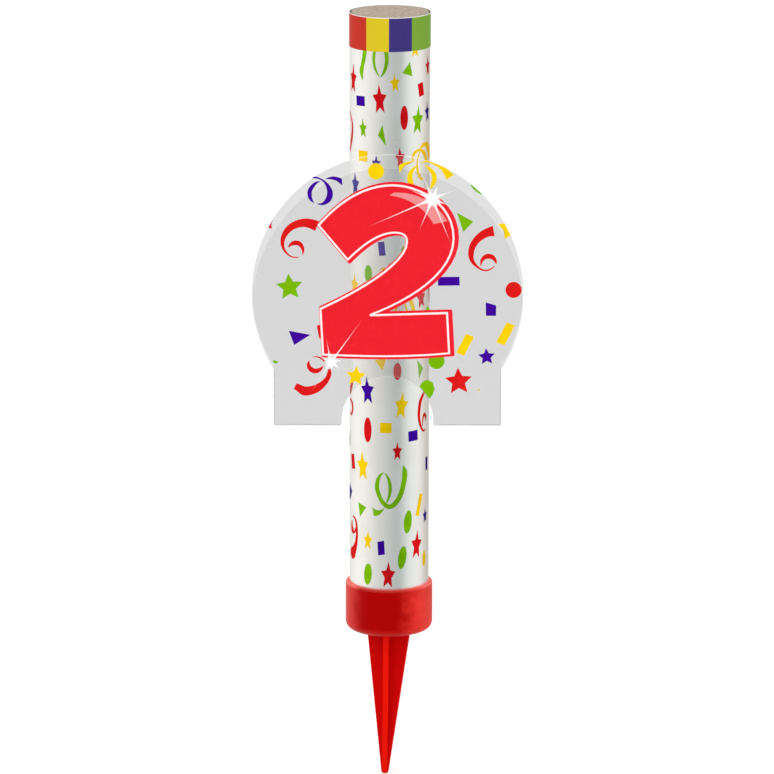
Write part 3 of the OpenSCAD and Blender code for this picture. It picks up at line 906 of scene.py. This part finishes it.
glint_group, glint_in, glint_out = group_of("printed_glints", {"Vector": "Vector"}, {"White": "Float"})
tree = glint_group
right, up = on_plaque(tree, glint_in["Vector"])
white = 0.0
for (u, v), core, reaches in GLINTS:
    across = maths(tree, "SUBTRACT", right, u)
    rise = maths(tree, "SUBTRACT", up, v)
    spark = ranged(tree, length_of(tree, across, rise), core * 1.4, core * 0.6)
    white = maths(tree, "MAXIMUM", white, spark)
    for reach in reaches:
        length = math.hypot(*reach)
        du, dv = reach[0] / length, reach[1] / length
        along = times(tree, across, du, times(tree, rise, dv))
        off = times(tree, across, -dv, times(tree, rise, du))
        off = maths(tree, "ABSOLUTE", off)
        left = times(tree, along, -1 / length, 1.0, clamp=True)
        near = times(tree, along, -NARROWING / core, 1.0, clamp=True)
        flare = times(tree, maths(tree, "POWER", near, 2.0), FLARE * core)
        half = times(tree, left, RAY_HALF * core, flare)
        inside = maths(tree, "DIVIDE", maths(tree, "SUBTRACT", half, off), SOFT_EDGE, clamp=True)
        ahead = ranged(tree, along, -0.05, 0.05)
        fading = ranged(tree, left, 0.0, 0.5)
        ray = times(tree, times(tree, inside, ahead), fading)
        white = maths(tree, "MAXIMUM", white, ray)
tree.links.new(white, glint_out.inputs["White"])


def glinting(finish):
    """The printed glints at the finish's own surface, as a mask."""
    return put(finish.tree, "ShaderNodeGroup", {0: finish.place}, node_tree=glint_group).outputs[0]


def glinted(finish, colour):
    """The finish's material in that colour, white where a glint is printed over it."""
    return coloured(finish, mixed(finish.tree, glinting(finish), colour, WHITE))


def see_through(name, tint, edge_tint, cover, edge_cover, rough, dark_feet=False, glints=False):
    """A clear sheet. cover is how much of what lies behind it the sheet hides, in the middle of
    its face, and edge_cover on its cut edge."""
    made = finish_of(name, 500, rough, 0.004, IOR=1.49)
    tree = made.tree
    geometry = put(tree, "ShaderNodeNewGeometry").outputs
    level = parts_of(tree, geometry["True Normal"])["Y"]
    cut_edge = ranged(tree, maths(tree, "ABSOLUTE", level), 0.9, 0.75)
    if dark_feet:
        spot = parts_of(tree, made.place)
        low = ranged_mm(tree, spot["Z"], *FEET_LOW)
        beside = ranged_mm(tree, maths(tree, "ABSOLUTE", spot["X"]), *FEET_ASIDE)
        cut_edge = times(tree, cut_edge, times(tree, low, beside))
    mist = noise(tree, made.place, 220.0, 4.0)
    face = mixed(tree, mist, tint, tuple(1.06 * x for x in tint[:3]) + (1,))
    colour = mixed(tree, cut_edge, face, edge_tint)
    covers = {0: cut_edge, 1: 0.0, 2: 1.0, 3: cover, 4: edge_cover}
    hidden = put(tree, "ShaderNodeMapRange", covers).outputs[0]
    hidden = times(tree, maths(tree, "SUBTRACT", mist, 0.5), 0.02, hidden)
    if glints:
        spark = glinting(made)
        colour = mixed(tree, spark, colour, WHITE)
        hidden = maths(tree, "MAXIMUM", hidden, spark)
    outer = maths(tree, "SUBTRACT", 1.0, geometry["Backfacing"])
    tree.links.new(times(tree, hidden, outer), made.shader.inputs["Alpha"])
    return coloured(made, colour)


def cut_sheet(name, node, material, broken):
    """The node's sheet with its cut edges broken, a hair clear of the sheets that it lies on."""
    hair = 0.004 * MM
    shape = bmesh.new()
    shape.from_mesh(cad[node].data)
    bmesh.ops.remove_doubles(shape, verts=shape.verts, dist=0.001 * MM)
    bmesh.ops.dissolve_limit(
        shape, angle_limit=math.radians(1), verts=shape.verts, edges=shape.edges
    )
    low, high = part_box(node)
    middle = (low.y + high.y) / 2
    for corner in shape.verts:
        corner.co.y += hair if corner.co.y < middle else -hair
    rims = [edge for edge in shape.edges if edge.calc_face_angle(0) > math.radians(60)]
    bmesh.ops.bevel(shape, geom=rims, offset=broken, segments=1, profile=0.5, affect="EDGES")
    mesh = bpy.data.meshes.new(name)
    shape.to_mesh(mesh)
    shape.free()
    mesh.shade_smooth()
    mesh.set_sharp_from_angle(angle=math.radians(20))
    mesh.materials.append(material)
    made = bpy.data.objects.new(name, mesh)
    scene.collection.objects.link(made)
    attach(made, "plaque")
    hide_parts(node)
    return made


plate_tint = see_through(
    "tinted_plate", PLATE_GREY, PLATE_EDGE, cover=0.13, edge_cover=0.45, rough=(0.3, 0.4), dark_feet=True
)
plate_sheet = cut_sheet("plate_sheet", "plaque_plate", plate_tint, 0.25 * MM)
# The film's cut edge is painted white, a painted highlight along the edge.
film_tint = see_through(
    "clear_film", FILM_GREY, WHITE, cover=0.08, edge_cover=0.6, rough=(0.12, 0.2), glints=True
)
film_sheet = cut_sheet("film_sheet", "plaque_film", film_tint, 0.06 * MM)

# The film's print: the same confetti in solid inks, here upright and larger. Some pieces are
# cut off by the die-cut edge. Places are millimetres to the right and up of the disc's centre.
FILM_INK_THICK = 0.02
film_chips = [
    (STAR, "violet", 19.96, -12.79, 3.13, 3.12, 4),
    (STAR, "red", 14.34, -17.89, 4.93, 5.04, 3),
    (STAR, "green", -19.69, 1.48, 4.91, 4.94, 5),
    (STAR, "yellow", -6.36, -16.84, 3.67, 3.76, -5),
    (DOT, "yellow", -2.35, 25.15, 3.28, 3.35, 0),
    (DOT, "red", 25.3, 0.98, 3.28, 3.35, 0),
    (DOT, "green", 9.88, -13.68, 3.28, 3.37, 0),
]
film_cuts = [
    ("green", [
        (16.4, 22.73), (17.47, 21.84), (18.9, 20.51), (19.04, 20.36), (18, 20.8), (17.03, 21.66)
    ]),
    ("green", [(13.87, 16.78), (15.15, 12.81), (17.14, 14.92)]),
    ("yellow", [(22.09, 14.44), (23.44, 12.89), (23.35, 11.35), (24.65, 12.15), (23.41, 14.58)]),
    ("red", [(-23.92, 13.65), (-23.15, 13.38), (-23.38, 14.63), (-22.73, 15.7), (-22.99, 15.29)]),
    ("violet", [(19.71, -1.58), (19.78, -4.35), (21.82, -4.36), (21.82, -2.2)]),
    ("yellow", [(15.81, -8.06), (13.85, -11.93), (15.44, -12.64), (17.44, -8.69)]),
    ("yellow", [(23.98, -5.71), (21.85, -9.8), (23.57, -10.4), (25.63, -6.3)]),
    ("violet", [(10.08, 3.6), (10.12, 1.82), (14.49, 1.88), (14.41, 3.66)]),
    ("violet", [(-19.87, -7.49), (-18.75, -10.42), (-15.49, -8.3)]),
    ("red", [(-14.25, -6.4), (-13.7, -9.12), (-12.38, -8.87), (-12.55, -6.06)]),
    ("green", [(-23.12, -13.8), (-22.61, -14.32), (-21.87, -13.94), (-22.82, -13.54)]),
    ("green", [
        (6.46, -18.93), (8.5, -21.46), (9.12, -20.68), (9.54, -19.38), (9.12, -18.09),
        (8.07, -17.55), (7.01, -17.99)
    ]),
    ("yellow", [(18.06, -19.73), (18.44, -19.93), (18.63, -19.42)]),
    ("green", [(7.44, -3.69), (7.95, -2.31), (8.32, -2.71), (8.95, -3.69)]),
    ("violet", [
        (-12.55, 23.53), (-11.79, 23.92), (-11.04, 24.1), (-10.28, 24.03), (-9.62, 23.85),
        (-9.17, 23.65), (-9.04, 22.2), (-9.35, 22.57), (-9.84, 22.95), (-10.51, 23.29),
        (-11.22, 23.47), (-11.95, 23.56)
    ]),
    ("yellow", [
        (2.22, 26.37), (3.11, 26.87), (4, 27.16), (5.66, 27.3), (4.89, 27.03), (4.22, 26.85),
        (3.56, 26.42), (3.02, 25.88), (2.63, 25.2), (2.45, 24.84), (2.29, 24.97)
    ]),
]
film_streamers = [
    ("red", [
        (-14.12, 14.01, 2.15), (-15.91, 14.58, 1.86), (-17.51, 14.55, 1.62),
        (-19.1, 13.92, 1.42), (-20.27, 12.84, 1.22), (-20.97, 11.42, 0.93), (-21.01, 9.9, 0.65),
        (-20.43, 8.67, 0.41), (-19.51, 7.84, 0.3), (-18.51, 7.58, 0.24), (-17.71, 7.67, 0.1)
    ]),
    ("red", [
        (-19.89, 9.67, 0.2), (-19.24, 10.32, 0.73), (-18.35, 10.56, 0.97), (-17.59, 10.31, 0.93),
        (-17.11, 9.62, 0.73), (-16.93, 8.87, 0.45), (-17.05, 8.09, 0.1)
    ]),
    ("red", [
        (21.26, 13.02, 2.17), (20.18, 12.78, 1.8), (18.98, 12.18, 1.62), (17.87, 11.23, 1.42),
        (17.03, 9.91, 1.3), (16.71, 8.33, 1.13), (16.99, 6.9, 0.81), (17.87, 5.82, 0.49),
        (18.98, 5.09, 0.34), (20.08, 5, 0.32), (20.98, 5.43, 0.24), (21.58, 5.85, 0.08)
    ]),
    ("red", [
        (18.69, 5.88, 0.12), (18.85, 6.87, 0.57), (19.34, 7.57, 0.85), (20.14, 7.88, 1.01),
        (20.94, 7.71, 0.93), (21.5, 7.17, 0.69), (21.86, 6.26, 0.12)
    ]),
    ("red", [
        (-11.69, -15.39, 0.53), (-11.71, -16.29, 0.89), (-12.07, -17.31, 0.99),
        (-12.88, -18.33, 1.26), (-14.07, -19.27, 1.62), (-15.37, -19.79, 1.78),
        (-16.68, -19.91, 1.9), (-17.68, -19.4, 1.58), (-18.58, -18.86, 1.3)
    ]),
    ("red", [
        (-15.76, -13.59, 0.12), (-15.92, -14.5, 0.69), (-15.46, -15.37, 0.97),
        (-14.56, -15.78, 1.01), (-13.66, -15.5, 0.77), (-12.91, -14.75, 0.12)
    ]),
    ("red", [
        (-15.1, -12.9, 0.1), (-14.3, -12.83, 0.24), (-13.5, -13.05, 0.32),
        (-12.91, -13.54, 0.32), (-12.51, -14.03, 0.24)
    ]),
    ("violet", [
        (-13.56, 23.11, 0.1), (-14.34, 22.77, 0.5), (-15.02, 22.09, 0.75), (-15.55, 21.2, 0.88),
        (-15.6, 20.17, 0.82), (-15.26, 19.28, 0.52), (-14.74, 18.69, 0.1)
    ]),
    ("violet", [
        (-15.08, 23.78, 0.15), (-14.5, 23.88, 0.38), (-13.76, 23.69, 0.34),
        (-12.95, 23.26, 0.36), (-12.25, 22.58, 0.6), (-11.72, 21.56, 0.95),
        (-11.54, 20.59, 1.18), (-11.8, 19.57, 1.18), (-12.45, 18.82, 0.85), (-13.2, 18.47, 0.45),
        (-14.1, 18.5, 0.12)
    ]),
    ("yellow", [
        (5.78, 26.36, 0.12), (5.06, 25.6, 0.62), (4.5, 24.5, 0.95), (4.45, 23.5, 1.08),
        (4.68, 22.47, 1.2), (5.1, 21.65, 1.1)
    ]),
    ("yellow", [
        (6.48, 26.81, 0.1), (7.58, 27.19, 0.32), (8.55, 26.96, 0.34), (9.65, 26.48, 0.47),
        (10.57, 25.98, 0.65), (11.51, 25.22, 1.18), (12.5, 23.94, 1.78)
    ]),
    ("yellow", [
        (7.36, 26.4, 0.1), (8.22, 25.76, 0.64), (8.98, 24.92, 0.9), (9.32, 24, 0.95),
        (9.2, 22.97, 0.9), (8.7, 21.97, 0.52), (8.5, 21.6, 0.1)
    ]),
]


def on_the_film(tree, at, given):
    """Lays x to the right and y up from the disc's centre, on the film's front."""
    return put(
        tree,
        "ShaderNodeCombineXYZ",
        {
            "X": maths(tree, "ADD", at["X"], given["Side"]),
            "Y": maths(tree, "SUBTRACT", given["Front"], at["Z"]),
            "Z": maths(tree, "ADD", at["Y"], given["Height"]),
        },
    ).outputs[0]


def film_ink(colour, deep, bright):
    """Solid ink on film: a flat colour under a gloss, white where a glint is printed over it."""
    made = finish_of(
        f"film_ink_{colour}", 900, (0.22, 0.3), 0.0005, **{"Specular IOR Level": 0.04}
    )
    return glinted(made, clouded(made, 500.0, deep, bright))


film_inks = {
    "red ink": film_ink("red", shade(218, 20, 20), shade(224, 26, 25)),
    "violet ink": film_ink("violet", shade(58, 0, 150), shade(63, 1, 155)),
    "yellow ink": film_ink("yellow", shade(246, 208, 0), shade(249, 214, 4)),
    "green ink": film_ink("green", shade(118, 180, 0), shade(124, 187, 2)),
}
film_print = artwork_of("film_print", film_chips, film_cuts, film_streamers)
printed(
    film_print,
    print_tree("ink_on_the_film", on_the_film, ["Side", "Front", "Height"]),
    {
        "Ink Thickness": FILM_INK_THICK * MM,
        "Side": PLAQUE_SIDE * MM,
        "Front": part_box("plaque_film")[0].y,
        "Height": PLAQUE_Z * MM,
        **film_inks,
    },
)
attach(film_print, "plaque")

# The number: three sheets of gloss plastic laid one on the other, a red border, a white line
# and the red face, with printed highlights across them.


def gloss_sheet(name, deep, bright):
    """A gloss sheet, with its colour kept for what is printed over it."""
    made = finish_of(name, 800, (0.2, 0.3), 0.0005, **{"Specular IOR Level": 0.12})
    made.colour = clouded(made, 120.0, deep, bright)
    return made


border = gloss_sheet("number_border_red", shade(242, 22, 44), shade(244, 28, 48))
wear("number_border", glinted(border, border.colour))
keyline = gloss_sheet("number_white", shade(250, 249, 249), shade(255, 255, 255))
wear("number_keyline", glinted(keyline, keyline.colour))

# A pale sliver of shine printed along the number's crown: inside one circle, outside another
# and between its two cut ends. Millimetres from the disc's centre.
SHINE_OUTER, SHINE_OUTER_R = (1.98, 9.47), 11.43
SHINE_INNER, SHINE_INNER_R = (-0.7, 9.05), 11.31
SHINE_SOFT, SHINE_SHARE = 0.06, 0.27
# Each end is a slanted line: its slope, and its heights where the shine is nothing and full.
FIRST_END, LAST_END = (0.684, 20.13, 20.01), (0.213, 12.5, 12.62)
face = gloss_sheet("number_red", shade(237, 26, 41), shade(239, 27, 42))
tree = face.tree
right, up = on_plaque(tree, face.place)


def from_point(u, v):
    """How far a point of the face is from (u, v)."""
    return length_of(tree, maths(tree, "SUBTRACT", right, u), maths(tree, "SUBTRACT", up, v))


def inside_end(slope, nothing, full):
    """1 on the shine's side of one of its cut ends."""
    return ranged(tree, times(tree, right, -slope, up), nothing, full)


within = ranged(tree, from_point(*SHINE_OUTER), SHINE_OUTER_R + SHINE_SOFT, SHINE_OUTER_R - SHINE_SOFT)
beyond = ranged(tree, from_point(*SHINE_INNER), SHINE_INNER_R - SHINE_SOFT, SHINE_INNER_R + SHINE_SOFT)
ends = times(tree, inside_end(*FIRST_END), inside_end(*LAST_END))
shine = times(tree, times(tree, within, beyond), ends)
glossed = mixed(tree, times(tree, shine, SHINE_SHARE), face.colour, WHITE)
wear("number_face", glinted(face, glossed))

# The plaque's dark back would fill the foil's reflections, so the foil looks past it.
plaque_nodes = [cad[node] for node in frame["record"]["behaviour"]["bodies"]["plaque"]]
for piece in (*plaque_nodes, plate_sheet, film_sheet, film_print):
    piece.visible_glossy = False
    piece.visible_shadow = False
